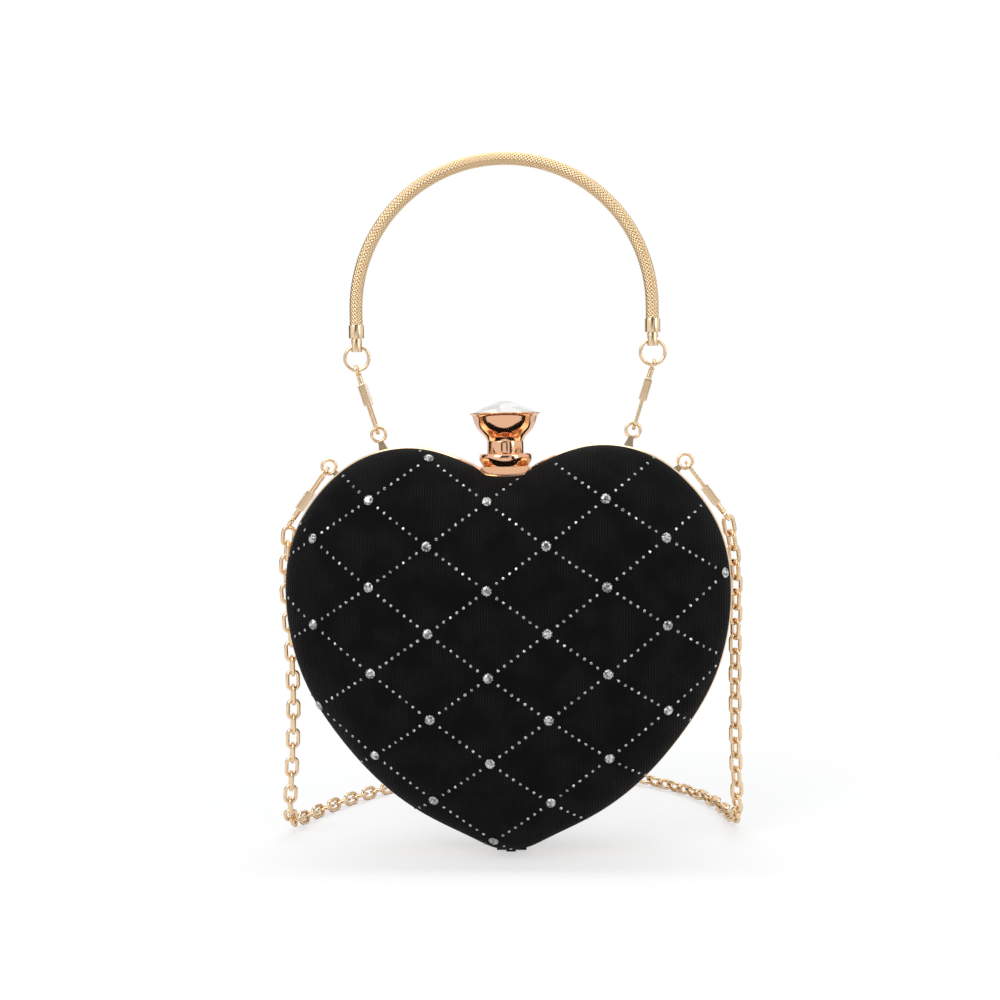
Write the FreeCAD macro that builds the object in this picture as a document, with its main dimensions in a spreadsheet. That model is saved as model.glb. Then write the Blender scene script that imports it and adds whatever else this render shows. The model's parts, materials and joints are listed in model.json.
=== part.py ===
"""A hard cased heart shaped purse with a push clasp, an arched handle and a chain strap.

Millimetres. The pieces are worked out in the case's own frame: +X to the right, +Z up,
-Y to the front, the two halves meeting at Y = 0 and the tip of the heart at Z = 0.
Each finished piece is then placed so that the middle of the handle's grip is the origin.
"""
import FreeCAD, Part
import math
import os
import re

import Sketcher
from FreeCAD import Placement, Rotation, Vector

# Driving dimensions, each a cell of the sheet
SIZES = {
    # the case
    "half_width": 84.0,
    "height": 153.0,
    "frame_depth": 6.0,
    "parting_gap": 0.3,
    "frame_wall": 2.2,
    "frame_bevel": 0.4,
    "dome_rise": 24.0,
    "cover_setback": 0.5,
    "cover_wall": 0.8,
    "shell_wall": 2.0,
    "lining_wall": 0.5,
    "layer_gap": 0.1,
    "spigot_depth": 3.5,
    "spigot_gap": 0.15,
    "seat_gap": 0.02,
    "overrun": 2.0,
    # the stones on the cover
    "stone_radius": 2.1,
    "stone_table": 1.2,
    "stone_rise": 1.0,
    "stone_seat": 0.08,
    "stone_columns": 43.2,
    "stone_rows": 15.75,
    "stone_start_x": -5.7,
    "stone_start_z": 100.9,
    "stone_curve": 4.5,
    "stone_margin": 2.5,
    # the hinge at the tip
    "hinge_drop": 0.3,
    "knuckle_radius": 1.4,
    "knuckle_span": 3.6,
    "knuckle_gap": 0.2,
    "hinge_pin_radius": 0.7,
    "hinge_pin_play": 0.05,
    "hinge_clearance": 0.3,
    "leaf_reach": 5.4,
    "leaf_thickness": 0.8,
    # the lugs
    "lug_ring_radius": 2.7,
    "lug_wire": 0.6,
    "lug_foot_width": 4.6,
    "lug_foot_thickness": 2.6,
    "lug_neck_width": 1.8,
    "lug_foot_depth": 6.0,
    "lug_stand": 6.3,
    "strap_lug_stand": 4.8,
    "strap_lug_lean": 46.0,
    "strap_hang": 144.0,
    # the lobster clasps
    "claw_wire": 1.5,
    "claw_inner": 1.65,
    "claw_rise": 0.45,
    "claw_tip": 1.2,
    "claw_thickness": 1.3,
    "barrel_start": 9.0,
    "barrel_length": 8.3,
    "barrel_thickness": 3.0,
    "slot_width": 1.7,
    "slot_back": 0.1,
    "slot_top": 14.2,
    "trigger_thickness": 1.2,
    "trigger_gap": 0.3,
    "trigger_hub": 1.2,
    "trigger_y": 1.6,
    "trigger_z": 11.0,
    "thumb_reach": 4.4,
    "thumb_base": 11.6,
    "thumb_height": 1.8,
    "trigger_pin": 0.5,
    "trigger_play": 0.05,
    "eye_radius": 2.3,
    "eye_hole": 1.25,
    "eye_thickness": 1.4,
    "eye_neck": 1.0,
    "clasp_reach": 23.0,
    # the handle
    "handle_radius": 56.1,
    "handle_leg": 8.7,
    "handle_tube": 2.525,
    "core_radius": 1.5,
    "core_gap": 0.1,
    "ring_radius": 4.6,
    "ring_wire": 0.65,
    "cap_end_radius": 2.1,
    "cap_end_below": 2.1,
    "cap_end_above": 2.6,
    "cap_groove_radius": 1.7,
    "cap_groove": 0.4,
    "cap_radius": 2.95,
    "cap_length": 4.9,
    "cap_socket_depth": 3.5,
    "cap_socket_gap": 0.08,
    "cap_hole": 1.3,
    # the push clasp
    "base_stand": 3.1,
    "base_radius": 10.0,
    "base_foot_radius": 8.6,
    "base_waist": 2.6,
    "base_height": 4.9,
    "base_edge": 0.6,
    "base_floor": 1.2,
    "saddle_half_width": 9.2,
    "neck_radius": 6.95,
    "neck_gap": 0.3,
    "neck_sunk": 0.5,
    "neck_top": 9.7,
    "cup_radius": 13.35,
    "cup_top": 20.3,
    "cup_lip": 1.15,
    "cup_seat_depth": 1.7,
    "gem_gap": 0.12,
    "gem_table_radius": 1.8,
    "gem_shoulder_radius": 8.2,
    "gem_girdle": 1.9,
    "gem_shoulder_rise": 1.8,
    "gem_height": 4.5,
    "stem_radius": 2.0,
    "stem_play": 0.08,
    "stem_hole_top": 14.0,
    "stem_tip_radius": 1.0,
    "stem_tip_length": 2.6,
    "stem_tip_gap": 0.4,
    "recess_inner": 3.4,
    "recess_outer": 5.9,
    "recess_depth": 3.2,
    "spring_wire": 0.35,
    "spring_end_gap": 0.05,
    # the latch
    "keeper_half_width": 5.0,
    "keeper_thickness": 1.2,
    "keeper_drop": 4.1,
    "keeper_tip": 4.8,
    "keeper_plate_start": 2.3,
    "window_half_width": 2.2,
    "window_start": 1.8,
    "window_end": 4.2,
    "latch_half_width": 3.0,
    "latch_thickness": 0.6,
    "latch_drop": 1.1,
    "latch_end": 5.9,
    "latch_start": 1.4,
    "bead_half_width": 1.8,
    "bead_start": 2.0,
    "bead_end": 4.0,
    "bead_sunk": 0.2,
    # the chain strap
    "chain_radius": 2.75,
    "coil_y": 88.0,
    "coil_outer": 33.0,
    "coil_step": 6.2,
    "coil_layer": 6.1,
}

# Half of the heart, from the tip round to the cleft, as shares of the half width and the height
OUTLINE_SHARES = [
    (0.0, 0.0), (0.160, 0.027), (0.375, 0.086), (0.574, 0.165), (0.767, 0.283),
    (0.919, 0.421), (0.989, 0.559), (1.0, 0.638), (0.949, 0.795), (0.835, 0.893),
    (0.652, 0.973), (0.435, 1.0), (0.242, 0.978), (0.107, 0.941), (0.0, 0.927),
]
# Where the lugs stand on the outline, as shares of the half width and the height
HANDLE_LUG_SHARES = (0.5536, 0.9922)
STRAP_LUG_SHARES = (0.766, 0.9311)
# The crown of the dome, as a share of the height, and its sections, as shares of the outline
CROWN_SHARE = 0.55
SECTION_SHARES = [1.0, 0.99, 0.96, 0.9, 0.78, 0.55, 0.25]
# The tulip shaped cup from its neck to its lip: shares of the flare outward and upward
CUP_SHARES = [(0.10, 0.13), (0.30, 0.26), (0.55, 0.43), (0.71, 0.62), (0.80, 0.80), (0.86, 0.91)]

# The share of a run that the bend at each of its ends takes
BEND_SHARE = 0.45
COIL_TURNS_IN = 2
COIL_SIDES = 4
COIL_SAMPLES = 600
SPRING_TURNS = 4
GEM_SIDES = 12
STONE_SIDES = 8
# Below this, two directions count as one
TINY = 1e-9

# The strap's free stretches in the case's frame, chosen by hand, from each clasp to the coil
STRAP_LEFT = [
    (-83.8, 3.1, 122.1), (-87.1, 3.3, 106), (-87.8, 5.5, 79), (-86.8, 9.5, 52),
    (-87.2, 12.5, 29), (-89.0, 16, 12), (-90.5, 24, 2.6), (-88.0, 38, 0.55),
    (-81, 56, 0.55), (-69, 77, 0.55), (-52, 98, 0.55), (-34, 114, 0.55), (-15.5, 121.3, 0.55),
    (-0.1, 121, 0.55),
]
STRAP_RIGHT = [
    (83.8, 3.1, 122.1), (87.1, 3.3, 107), (87.7, 5.5, 80), (86.5, 8, 53),
    (86.3, 10.5, 30), (87.2, 15.5, 12), (87.4, 27, 2.8), (86.8, 43, 0.55),
    (83.5, 61, 0.55), (75.5, 79, 0.55), (62.5, 94.5, 0.55), (46.5, 107, 1.5), (30, 117, 4.2),
    (14.5, 121.4, 6.3), (0.1, 121, 6.65),
]

doc = FreeCAD.newDocument("heart_purse")
sheet = doc.addObject("Spreadsheet::Sheet", "Sizes")
for row, (alias, value) in enumerate(SIZES.items(), start=1):
    sheet.set("A%d" % row, alias)
    sheet.set("B%d" % row, str(value))
    sheet.setAlias("B%d" % row, alias)
doc.recompute()

# The middle of the back frame, where the lugs and the clasp stand
RAIL_Y = "(frame_depth / 2 + parting_gap / 4)"
# The push clasp's base and the latch's keeper, above and below the cleft
CLEFT_Z = "%g * height" % OUTLINE_SHARES[-1][1]
BASE_Z = "(%s + base_stand)" % CLEFT_Z
KEEPER_TOP = "(%s - keeper_drop)" % CLEFT_Z
# A handle lug, its clasp and its ring in one straight line from the outline to the handle's leg
LUG_X = "(%g * half_width)" % HANDLE_LUG_SHARES[0]
LUG_Z = "(%g * height)" % HANDLE_LUG_SHARES[1]
WIRE_REACH = "(lug_stand + lug_ring_radius)"
HANDLE_LEAN = "asin((handle_radius - %s) / (%s + clasp_reach))" % (LUG_X, WIRE_REACH)
WIRE_X = "(%s + %s * sin(%s))" % (LUG_X, WIRE_REACH, HANDLE_LEAN)
WIRE_Z = "(%s + %s * cos(%s))" % (LUG_Z, WIRE_REACH, HANDLE_LEAN)
RING_LOW_Z = "(%s + clasp_reach * cos(%s))" % (WIRE_Z, HANDLE_LEAN)
RING_Z = RING_LOW_Z + " + ring_radius"
HOLE_Z = RING_Z + " + ring_radius"
# A strap lug's ring, and the wire of it that the strap's clasp holds
STRAP_LUG_X = "(%g * half_width + strap_lug_stand * sin(strap_lug_lean))" % STRAP_LUG_SHARES[0]
STRAP_LUG_Z = "(%g * height + strap_lug_stand * cos(strap_lug_lean))" % STRAP_LUG_SHARES[1]
STRAP_WIRE_X = "(%s + lug_ring_radius * sin(strap_hang))" % STRAP_LUG_X
STRAP_WIRE_Z = "(%s + lug_ring_radius * cos(strap_hang))" % STRAP_LUG_Z
# An end cap's levels above its cross hole, the handle's bend and its grip
GROOVE_TOP = "cap_end_above + cap_groove"
CAP_TOP = GROOVE_TOP + " + cap_length"
SOCKET = CAP_TOP + " - cap_socket_depth"
LEG_Z = HOLE_Z + " + " + SOCKET + " + cap_socket_gap"
BEND_Z = LEG_Z + " + handle_leg"
GRIP_Z = "(%s + handle_radius)" % BEND_Z
nodes = []


def bound(text):
    """An expression in the sheet's own names, as the document reads it."""
    def full(found):
        word = found.group()
        return "Sizes." + word if word in SIZES else word
    return re.sub(r"[a-z_]+", full, text)


def number(text):
    """The value of an expression now."""
    return float(sheet.evalExpression(bound(text)))


def place(thing, x="0", y="0", z="0", axis=None, angle="0"):
    """Bind a thing's place, and its turn about one axis in degrees, to the sheet."""
    if axis is not None:
        thing.Placement = Placement(Vector(), Rotation(axis, number(angle)))
        thing.setExpression("Placement.Rotation.Angle", bound(angle))
    for letter, text in zip("xyz", (x, y, z)):
        thing.setExpression("Placement.Base." + letter, bound(text))
    return thing


def node(label, thing, x="0", y="0", z="0", axis=None, angle="0"):
    """A finished piece, moved from the case's frame to the grip's."""
    thing.Label = label
    nodes.append(thing)
    return place(thing, x, y + " - " + RAIL_Y, z + " - " + GRIP_Z, axis, angle)


def primitive(kind, name, sizes, where):
    """A Part primitive with its sizes bound."""
    thing = doc.addObject("Part::" + kind, name)
    for key, text in sizes.items():
        thing.setExpression(key, bound(text))
    return place(thing, **where)


def box(name, x, y, z):
    """A box from three (low, high) pairs of expressions."""
    spans = {
        key: "(%s) - (%s)" % (high, low)
        for key, (low, high) in zip(("Length", "Width", "Height"), (x, y, z))
    }
    return primitive("Box", name, spans, dict(x=x[0], y=y[0], z=z[0]))


def upright(name, radius, low, high, x="0", y="0"):
    """A cylinder along Z."""
    sizes = {"Radius": radius, "Height": "(%s) - (%s)" % (high, low)}
    return primitive("Cylinder", name, sizes, dict(x=x, y=y, z=low))


def crosswise(name, radius, low, high, y="0", z="0"):
    """A cylinder along X."""
    sizes = {"Radius": radius, "Height": "(%s) - (%s)" % (high, low)}
    where = dict(x=low, y=y, z=z, axis=Vector(0, 1, 0), angle="90")
    return primitive("Cylinder", name, sizes, where)


def across(name, radius, thickness, y="0", z="0"):
    """A cylinder along X, centred on X = 0."""
    return crosswise(name, radius, "-(%s) / 2" % thickness, "(%s) / 2" % thickness, y, z)


def cut(name, base, *tools):
    """A base less one or more tools."""
    for step, tool in enumerate(tools):
        thing = doc.addObject("Part::Cut", "%s_%d" % (name, step))
        thing.Base = base
        thing.Tool = tool
        base = thing
    return base


def fuse(name, *things):
    """Several solids as one."""
    thing = doc.addObject("Part::MultiFuse", name)
    thing.Shapes = list(things)
    return thing


def common(name, base, tool):
    """What two solids share."""
    thing = doc.addObject("Part::Common", name)
    thing.Base = base
    thing.Tool = tool
    return thing


def computed(name, shape):
    """A shape worked out here, where no feature of the document makes it."""
    thing = doc.addObject("Part::Feature", name)
    thing.Shape = shape
    return thing


def compound(name, *things):
    """Finished solids held as one object, so that they can be placed once more."""
    thing = doc.addObject("Part::Compound", name)
    thing.Links = list(things)
    return thing


def mirrored(name, source, normal):
    """A copy of a piece in the case's frame, across X = 0 or Y = 0."""
    thing = doc.addObject("Part::Mirroring", name)
    thing.Source = source
    thing.Normal = normal
    return thing


def heart(inset, share, y):
    """The heart's outline in the plane Y = y, drawn in by inset, then scaled about the crown."""
    half_width = number("half_width")
    height = number("height")
    middle = height / 2
    crown = CROWN_SHARE * height
    points = []
    for across_share, up_share in OUTLINE_SHARES:
        x = across_share * (half_width - inset)
        z = middle + (up_share * height - middle) * (1 - inset / middle)
        points.append(Vector(share * x, y, crown + share * (z - crown)))
    curve = Part.BSplineCurve()
    curve.interpolate(Points=points, InitialTangent=Vector(1, 0, 0), FinalTangent=Vector(-1, 0, 0))
    right = curve.toShape()
    left = right.mirror(Vector(), Vector(1, 0, 0))
    return Part.Wire([right, left])


def prism(name, inset, low, high):
    """The heart's outline, drawn in by inset, from one Y to another."""
    outline = computed(name + "_outline", heart(number(inset), 1, number(low)))
    thing = doc.addObject("Part::Extrusion", name)
    thing.Base = outline
    thing.DirMode = "Custom"
    thing.Dir = Vector(0, 1, 0)
    thing.Solid = True
    thing.setExpression("LengthFwd", bound("(%s) - (%s)" % (high, low)))
    return thing


def dome(inset):
    """The sections of the domed front at one depth of its layers, from the frame's edge to the crown."""
    rise = number("dome_rise + cover_setback - (%s)" % inset)
    return [
        heart(number(inset), share, -number("frame_depth") - rise * math.sqrt(1 - share ** 3))
        for share in SECTION_SHARES
    ]


def layer(name, start, wall):
    """One layer of the domed front: a skin of the given wall, start below the outline.

    It is made from its faces: a cut between two domes so close to each other isn't sound at every size.
    """
    outside = dome(start)
    inside = dome("(%s) + (%s)" % (start, wall))
    faces = [Part.Face([outside[0], inside[0]])]
    for sections in (outside, inside):
        faces += Part.makeLoft(sections, False, False).Faces
        faces.append(Part.Face(sections[-1]))
    shell = Part.Shell(faces)
    shell.sewShape()
    solid = Part.Solid(shell)
    solid.fix(TINY, TINY, TINY)
    return computed(name, solid)


def revolved(name, profile):
    """A body turned about Z from a closed profile of (radius, height) expressions."""
    body = doc.addObject("PartDesign::Body", name)
    plane = [item for item in body.Origin.OriginFeatures if item.Role == "XZ_Plane"][0]
    sketch = body.newObject("Sketcher::SketchObject", name + "_profile")
    sketch.AttachmentSupport = [(plane, "")]
    sketch.MapMode = "FlatFace"
    corners = [Vector(number(radius), number(up), 0) for radius, up in profile]
    for start, end in zip(corners, corners[1:] + corners[:1]):
        sketch.addGeometry(Part.LineSegment(start, end), False)
    for line in range(len(corners)):
        after = (line + 1) % len(corners)
        sketch.addConstraint(Sketcher.Constraint("Coincident", line, 2, after, 1))
    for line, (texts, corner) in enumerate(zip(profile, corners)):
        for kind, text, value, axis in zip(("DistanceX", "DistanceY"), texts, corner, (-2, -1)):
            if text == "0":
                sketch.addConstraint(Sketcher.Constraint("PointOnObject", line, 1, axis))
            else:
                size = Sketcher.Constraint(kind, -1, 1, line, 1, value)
                place_in_list = sketch.addConstraint(size)
                sketch.setExpression("Constraints[%d]" % place_in_list, bound(text))
    turn = body.newObject("PartDesign::Revolution", name + "_turn")
    turn.Profile = sketch
    turn.ReferenceAxis = (sketch, ["V_Axis"])
    turn.Angle = 360
    sketch.Visibility = False
    return body


def arc_from(start, direction, end):
    """The arc that leaves start along a direction and reaches end."""
    chord = end - start
    along = Vector(chord).normalize()
    bulge = direction - along * direction.dot(along)
    middle = (start + end) * 0.5
    if bulge.Length < TINY:
        return Part.LineSegment(start, end).toShape()
    lean = direction.getAngle(chord)
    middle += bulge.normalize() * (chord.Length / 2 * math.tan(lean / 2))
    return Part.Arc(start, middle, end).toShape()


def biarcs(points, directions):
    """A smooth wire of two arcs between each point and the next."""
    edges = []
    for start, end, leave, arrive in zip(points, points[1:], directions, directions[1:]):
        gap = end - start
        both = leave + arrive
        square = 2 * (1 - leave.dot(arrive))
        linear = 2 * gap.dot(both)
        if square < TINY:
            reach = gap.dot(gap) / (2 * linear)
        else:
            reach = (-linear + math.sqrt(linear ** 2 + 4 * square * gap.dot(gap))) / (2 * square)
        join = (start + leave * reach + end - arrive * reach) * 0.5
        edges.append(arc_from(start, leave, join))
        edges.append(arc_from(end, arrive * -1, join))
    return Part.Wire(Part.__sortEdges__(edges))


def rounded(points):
    """A route's straight runs joined by tangent arcs, each as large as its runs allow."""
    edges = []
    radii = []
    last = points[0]
    for before, corner, after in zip(points, points[1:], points[2:]):
        come = before - corner
        leave = after - corner
        half_turn = (math.pi - come.getAngle(leave)) / 2
        reach = BEND_SHARE * min(come.Length, leave.Length)
        radii.append(reach / math.tan(half_turn))
        start = corner + come.normalize() * reach
        end = corner + leave.normalize() * reach
        inward = (come + leave).normalize()
        depth = radii[-1] / math.cos(half_turn) - radii[-1]
        edges.append(Part.LineSegment(last, start).toShape())
        edges.append(Part.Arc(start, corner + inward * depth, end).toShape())
        last = end
    edges.append(Part.LineSegment(last, points[-1]).toShape())
    return Part.Wire(edges), radii


def tube(path, radius, direction):
    """A round tube along a wire that leaves its start in the given direction."""
    start = path.OrderedVertexes[0].Point
    ring = Part.Wire(Part.makeCircle(radius, start, direction))
    solid = path.makePipeShell([ring], True, False)
    expected = math.pi * radius ** 2 * path.Length
    print("tube length %.1f, volume %.4f of section times length" % (path.Length, solid.Volume / expected))
    return solid


# The case: frame, shell, cover and lining of the front half, and the back half from them
COVER_START = "cover_setback"
SHELL_START = "cover_setback + cover_wall + layer_gap"
LINING_START = SHELL_START + " + shell_wall + layer_gap"
SPIGOT_START = "frame_wall + spigot_gap"
SHELL_END = SHELL_START + " + shell_wall"


def frame_ring():
    """The plain frame of the front half, with its outer edges bevelled."""
    low = "-frame_depth"
    high = "-parting_gap / 2"
    levels = [
        ("frame_bevel", low),
        ("0", low + " + frame_bevel"),
        ("0", high + " - frame_bevel"),
        ("frame_bevel", high),
    ]
    outlines = []
    for step, (inset, y) in enumerate(levels):
        wire = heart(number(inset), 1, number(y))
        outlines.append(computed("frame_outline_%d" % step, wire))
    outside = doc.addObject("Part::Loft", "frame_outside")
    outside.Sections = outlines
    outside.Solid = True
    outside.Ruled = True
    inside = prism("frame_inside", "frame_wall", low + " - overrun", high + " + overrun")
    return cut("frame_ring", outside, inside)


def shell_half():
    """The stiff shell of the front half, with the spigot that sits inside the frame."""
    skin = layer("shell", SHELL_START, "shell_wall")
    end = "-frame_depth + spigot_depth"
    outside = prism("spigot_outside", SPIGOT_START, "-frame_depth", end)
    inside = prism("spigot_inside", SHELL_END, "-frame_depth", end)
    return fuse("shell_with_spigot", skin, cut("spigot", outside, inside))


def stones(cover):
    """The stones of the front's lattice, each seated square on the cover."""
    surface = cover.Shape
    far = number("-frame_depth - dome_rise - overrun")
    near = number("-frame_depth - stone_margin")
    probe = number("stone_radius")

    def front(x, z):
        hit = Part.makeLine(Vector(x, far, z), Vector(x, near, z)).common(surface)
        if not hit.Vertexes:
            return None
        return Vector(x, min(vertex.Y for vertex in hit.Vertexes), z)

    def outward(spot):
        index, place_on_face = surface.distToShape(Part.Vertex(spot))[2][0][1:3]
        normal = surface.Faces[index].normalAt(*place_on_face)
        return normal if normal.y < 0 else -normal

    found = []
    rows = int(number("height / stone_rows"))
    columns = int(number("half_width / stone_columns")) + 1
    for row in range(-rows, rows + 1):
        z = number("stone_start_z") + row * number("stone_rows")
        for column in range(-columns, columns + 1):
            shift = column + (0.5 if row % 2 else 0)
            x = number("stone_start_x") + shift * number("stone_columns")
            up = z + number("stone_curve") * (x / number("half_width")) ** 2
            spots = [front(x, up), front(x + probe, up), front(x - probe, up)]
            spots += [front(x, up + probe), front(x, up - probe)]
            if None in spots:
                continue
            normal = outward(spots[0])
            bulge = max((spot - spots[0]).dot(normal) for spot in spots)
            found.append(stone(spots[0] + normal * (bulge + number("stone_seat")), normal))
    return computed("front_stones_made", Part.Compound(found))


def stone(seat, normal):
    """One flat backed stone with a faceted side."""
    rings = []
    for radius, rise in (("stone_radius", "0"), ("stone_table", "stone_rise")):
        points = []
        for side in range(STONE_SIDES + 1):
            angle = 2 * math.pi * side / STONE_SIDES
            size = number(radius)
            points.append(Vector(size * math.cos(angle), size * math.sin(angle), number(rise)))
        rings.append(Part.makePolygon(points))
    solid = Part.makeLoft(rings, True, True)
    solid.Placement = Placement(seat, Rotation(Vector(0, 0, 1), normal))
    return solid


notch = crosswise(
    "hinge_notch",
    "knuckle_radius + hinge_clearance",
    "-1.5 * knuckle_span - 2 * knuckle_gap",
    "1.5 * knuckle_span + 2 * knuckle_gap",
    z="-hinge_drop",
)
FRONT_TO_BACK = Vector(0, 1, 0)
plain_frame = cut("notched_frame", frame_ring(), notch)
plain_shell = shell_half()
plain_cover = layer("cover", COVER_START, "cover_wall")
plain_lining = layer("lining", LINING_START, "lining_wall")
doc.recompute()
plain_stones = stones(plain_cover)

STEM_LOW = KEEPER_TOP + " + stem_tip_gap"
stem_way = upright(
    "stem_way", "stem_radius + stem_play", STEM_LOW + " - overrun", BASE_Z + " + base_floor + overrun",
    y=RAIL_Y,
)
node("front_frame", compound("front_frame", plain_frame))
node("front_shell", compound("front_shell", plain_shell))
node("front_cover", compound("front_cover", plain_cover))
node("front_lining", compound("front_lining", plain_lining))
node("front_rhinestones", compound("front_rhinestones", plain_stones))
back_frame_blank = mirrored("back_frame_blank", plain_frame, FRONT_TO_BACK)
node("back_frame", cut("back_frame", back_frame_blank, stem_way))
back_shell_blank = mirrored("back_shell_blank", plain_shell, FRONT_TO_BACK)
node("back_shell", cut("back_shell", back_shell_blank, stem_way))
node("back_cover", mirrored("back_cover", plain_cover, FRONT_TO_BACK))
node("back_lining", mirrored("back_lining", plain_lining, FRONT_TO_BACK))
node("back_rhinestones", mirrored("back_rhinestones", plain_stones, FRONT_TO_BACK))

# The hinge under the tip: two outer knuckles on the back leaf, one on the front leaf
body_block = prism("body_block", "-seat_gap", "-2 * frame_depth", "2 * frame_depth")
pin_way = crosswise(
    "pin_way", "hinge_pin_radius + hinge_pin_play",
    "-2 * knuckle_span", "2 * knuckle_span", z="-hinge_drop",
)


def leaf(name, low, high, side):
    """A knuckle between two X values with the tongue that runs under one frame."""
    knuckle = crosswise(name + "_knuckle", "knuckle_radius", low, high, z="-hinge_drop")
    span = ("-leaf_reach", "0") if side < 0 else ("0", "leaf_reach")
    tongue = box(name + "_tongue", (low, high), span, ("-leaf_thickness", "leaf_reach"))
    trimmed = cut(name + "_trimmed", tongue, body_block)
    return cut(name, fuse(name + "_whole", knuckle, trimmed), pin_way)


INNER = "knuckle_span / 2 + knuckle_gap"
OUTER = "1.5 * knuckle_span + knuckle_gap"
node("hinge_leaf_front", leaf("leaf_front", "-knuckle_span / 2", "knuckle_span / 2", -1))
back_right = leaf("leaf_right", INNER, OUTER, 1)
back_left = leaf("leaf_left", "-(%s)" % OUTER, "-(%s)" % INNER, 1)
node("hinge_leaf_back", compound("hinge_leaf_back", back_left, back_right))
hinge_pin = crosswise(
    "hinge_pin_made", "hinge_pin_radius", "-(%s)" % OUTER, OUTER, z="-hinge_drop"
)
node("hinge_pin", compound("hinge_pin", hinge_pin))


# The lugs on the back frame
def lug(label, x, z, lean):
    """A wire ring on a tapered plate, leaning from upright, the plate cut to the frame."""
    name = label + "_made"
    ring = primitive(
        "Torus", name + "_ring",
        {"Radius1": "lug_ring_radius", "Radius2": "lug_wire"},
        dict(axis=Vector(1, 0, 0), angle="90"),
    )
    foot = primitive(
        "Wedge", name + "_foot",
        {
            "Ymin": "-lug_ring_radius - lug_foot_depth", "Ymax": "-lug_ring_radius",
            "Xmin": "-lug_foot_width / 2", "Xmax": "lug_foot_width / 2",
            "X2min": "-lug_neck_width / 2", "X2max": "lug_neck_width / 2",
            "Zmin": "-lug_foot_thickness / 2", "Zmax": "lug_foot_thickness / 2",
            "Z2min": "-lug_neck_width / 2", "Z2max": "lug_neck_width / 2",
        },
        dict(axis=Vector(1, 0, 0), angle="90"),
    )
    leaning = compound(name + "_leaning", ring)
    standing = compound(name + "_standing", foot)
    for thing in (leaning, standing):
        place(thing, x, RAIL_Y, z, Vector(0, 1, 0), lean)
    node(label, fuse(name, leaning, cut(name + "_seated", standing, body_block)))


RING_X = "(%s + lug_stand * sin(%s))" % (LUG_X, HANDLE_LEAN)
RING_UP = "(%s + lug_stand * cos(%s))" % (LUG_Z, HANDLE_LEAN)
lug("handle_lug_left", "-" + RING_X, RING_UP, "-" + HANDLE_LEAN)
lug("handle_lug_right", RING_X, RING_UP, HANDLE_LEAN)
lug("strap_lug_left", "-" + STRAP_LUG_X, STRAP_LUG_Z, "-strap_lug_lean")
lug("strap_lug_right", STRAP_LUG_X, STRAP_LUG_Z, "strap_lug_lean")

# One lobster clasp, standing on the wire that it holds, with that wire along X through its origin
CLAW_OUTER = "claw_inner + claw_wire"
BARREL_END = "barrel_start + barrel_length"


def clasp_body():
    """Claw, slotted barrel and eye in one casting."""
    half = "claw_thickness / 2"
    barrel_half = "barrel_thickness / 2"
    outer = across("claw_outer", CLAW_OUTER, "claw_thickness", z="claw_rise")
    side = ("-" + half, half)
    sides = box("claw_sides", side, ("-(%s)" % CLAW_OUTER, CLAW_OUTER), ("claw_rise", "barrel_start"))
    way = across("claw_way", "claw_inner", "2 * claw_thickness", z="claw_rise")
    wide = ("-claw_thickness", "claw_thickness")
    inside = box("claw_inside", wide, ("-claw_inner", "claw_inner"), ("claw_rise", "barrel_start"))
    gate = box("claw_gate", wide, ("0", CLAW_OUTER + " + overrun"), ("claw_tip", "barrel_start"))
    claw = cut("claw", fuse("claw_whole", outer, sides), way, inside, gate)
    barrel = box(
        "barrel", ("-" + barrel_half, barrel_half),
        ("-(%s)" % CLAW_OUTER, CLAW_OUTER), ("barrel_start", BARREL_END),
    )
    slot = box(
        "barrel_slot", ("-slot_width / 2", "slot_width / 2"),
        ("slot_back", CLAW_OUTER + " + overrun"), ("barrel_start - overrun", "slot_top"),
    )
    pin_hole = across(
        "barrel_pin_hole", "trigger_pin + seat_gap", "2 * barrel_thickness",
        y="trigger_y", z="trigger_z",
    )
    neck = upright("eye_neck_made", "eye_neck", BARREL_END, "clasp_reach")
    eye = across("eye_made", "eye_radius", "eye_thickness", z="clasp_reach")
    hole = across("eye_hole_made", "eye_hole", "2 * eye_thickness", z="clasp_reach")
    slotted = cut("barrel_slotted", barrel, slot, pin_hole)
    return cut("clasp_body", fuse("clasp_whole", claw, slotted, neck, eye), hole)


def clasp_trigger():
    """The gate with its hub and thumb piece."""
    half = "trigger_thickness / 2"
    side = ("-" + half, half)
    hub = across("trigger_hub_made", "trigger_hub", "trigger_thickness", y="trigger_y", z="trigger_z")
    gate = box(
        "trigger_gate", side, ("claw_inner + layer_gap", CLAW_OUTER + " - layer_gap"),
        ("claw_tip + trigger_gap", "trigger_z"),
    )
    thumb = box(
        "trigger_thumb", side, ("trigger_y", "thumb_reach"),
        ("thumb_base", "thumb_base + thumb_height"),
    )
    way = across(
        "trigger_way", "trigger_pin + trigger_play", "2 * trigger_thickness",
        y="trigger_y", z="trigger_z",
    )
    return cut("clasp_trigger", fuse("trigger_whole", hub, gate, thumb), way)


clasp_pieces = {
    "body": clasp_body(),
    "trigger": clasp_trigger(),
    "pin": across("trigger_pin_made", "trigger_pin", "barrel_thickness", y="trigger_y", z="trigger_z"),
}


def clasp(label, x, z, lean):
    """Place one lobster clasp on the wire at (x, z), leaning from upright."""
    for piece, master in clasp_pieces.items():
        name = "%s_%s" % (label, piece)
        node(name, compound(name, master), x, RAIL_Y, z, Vector(0, 1, 0), lean)


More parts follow.
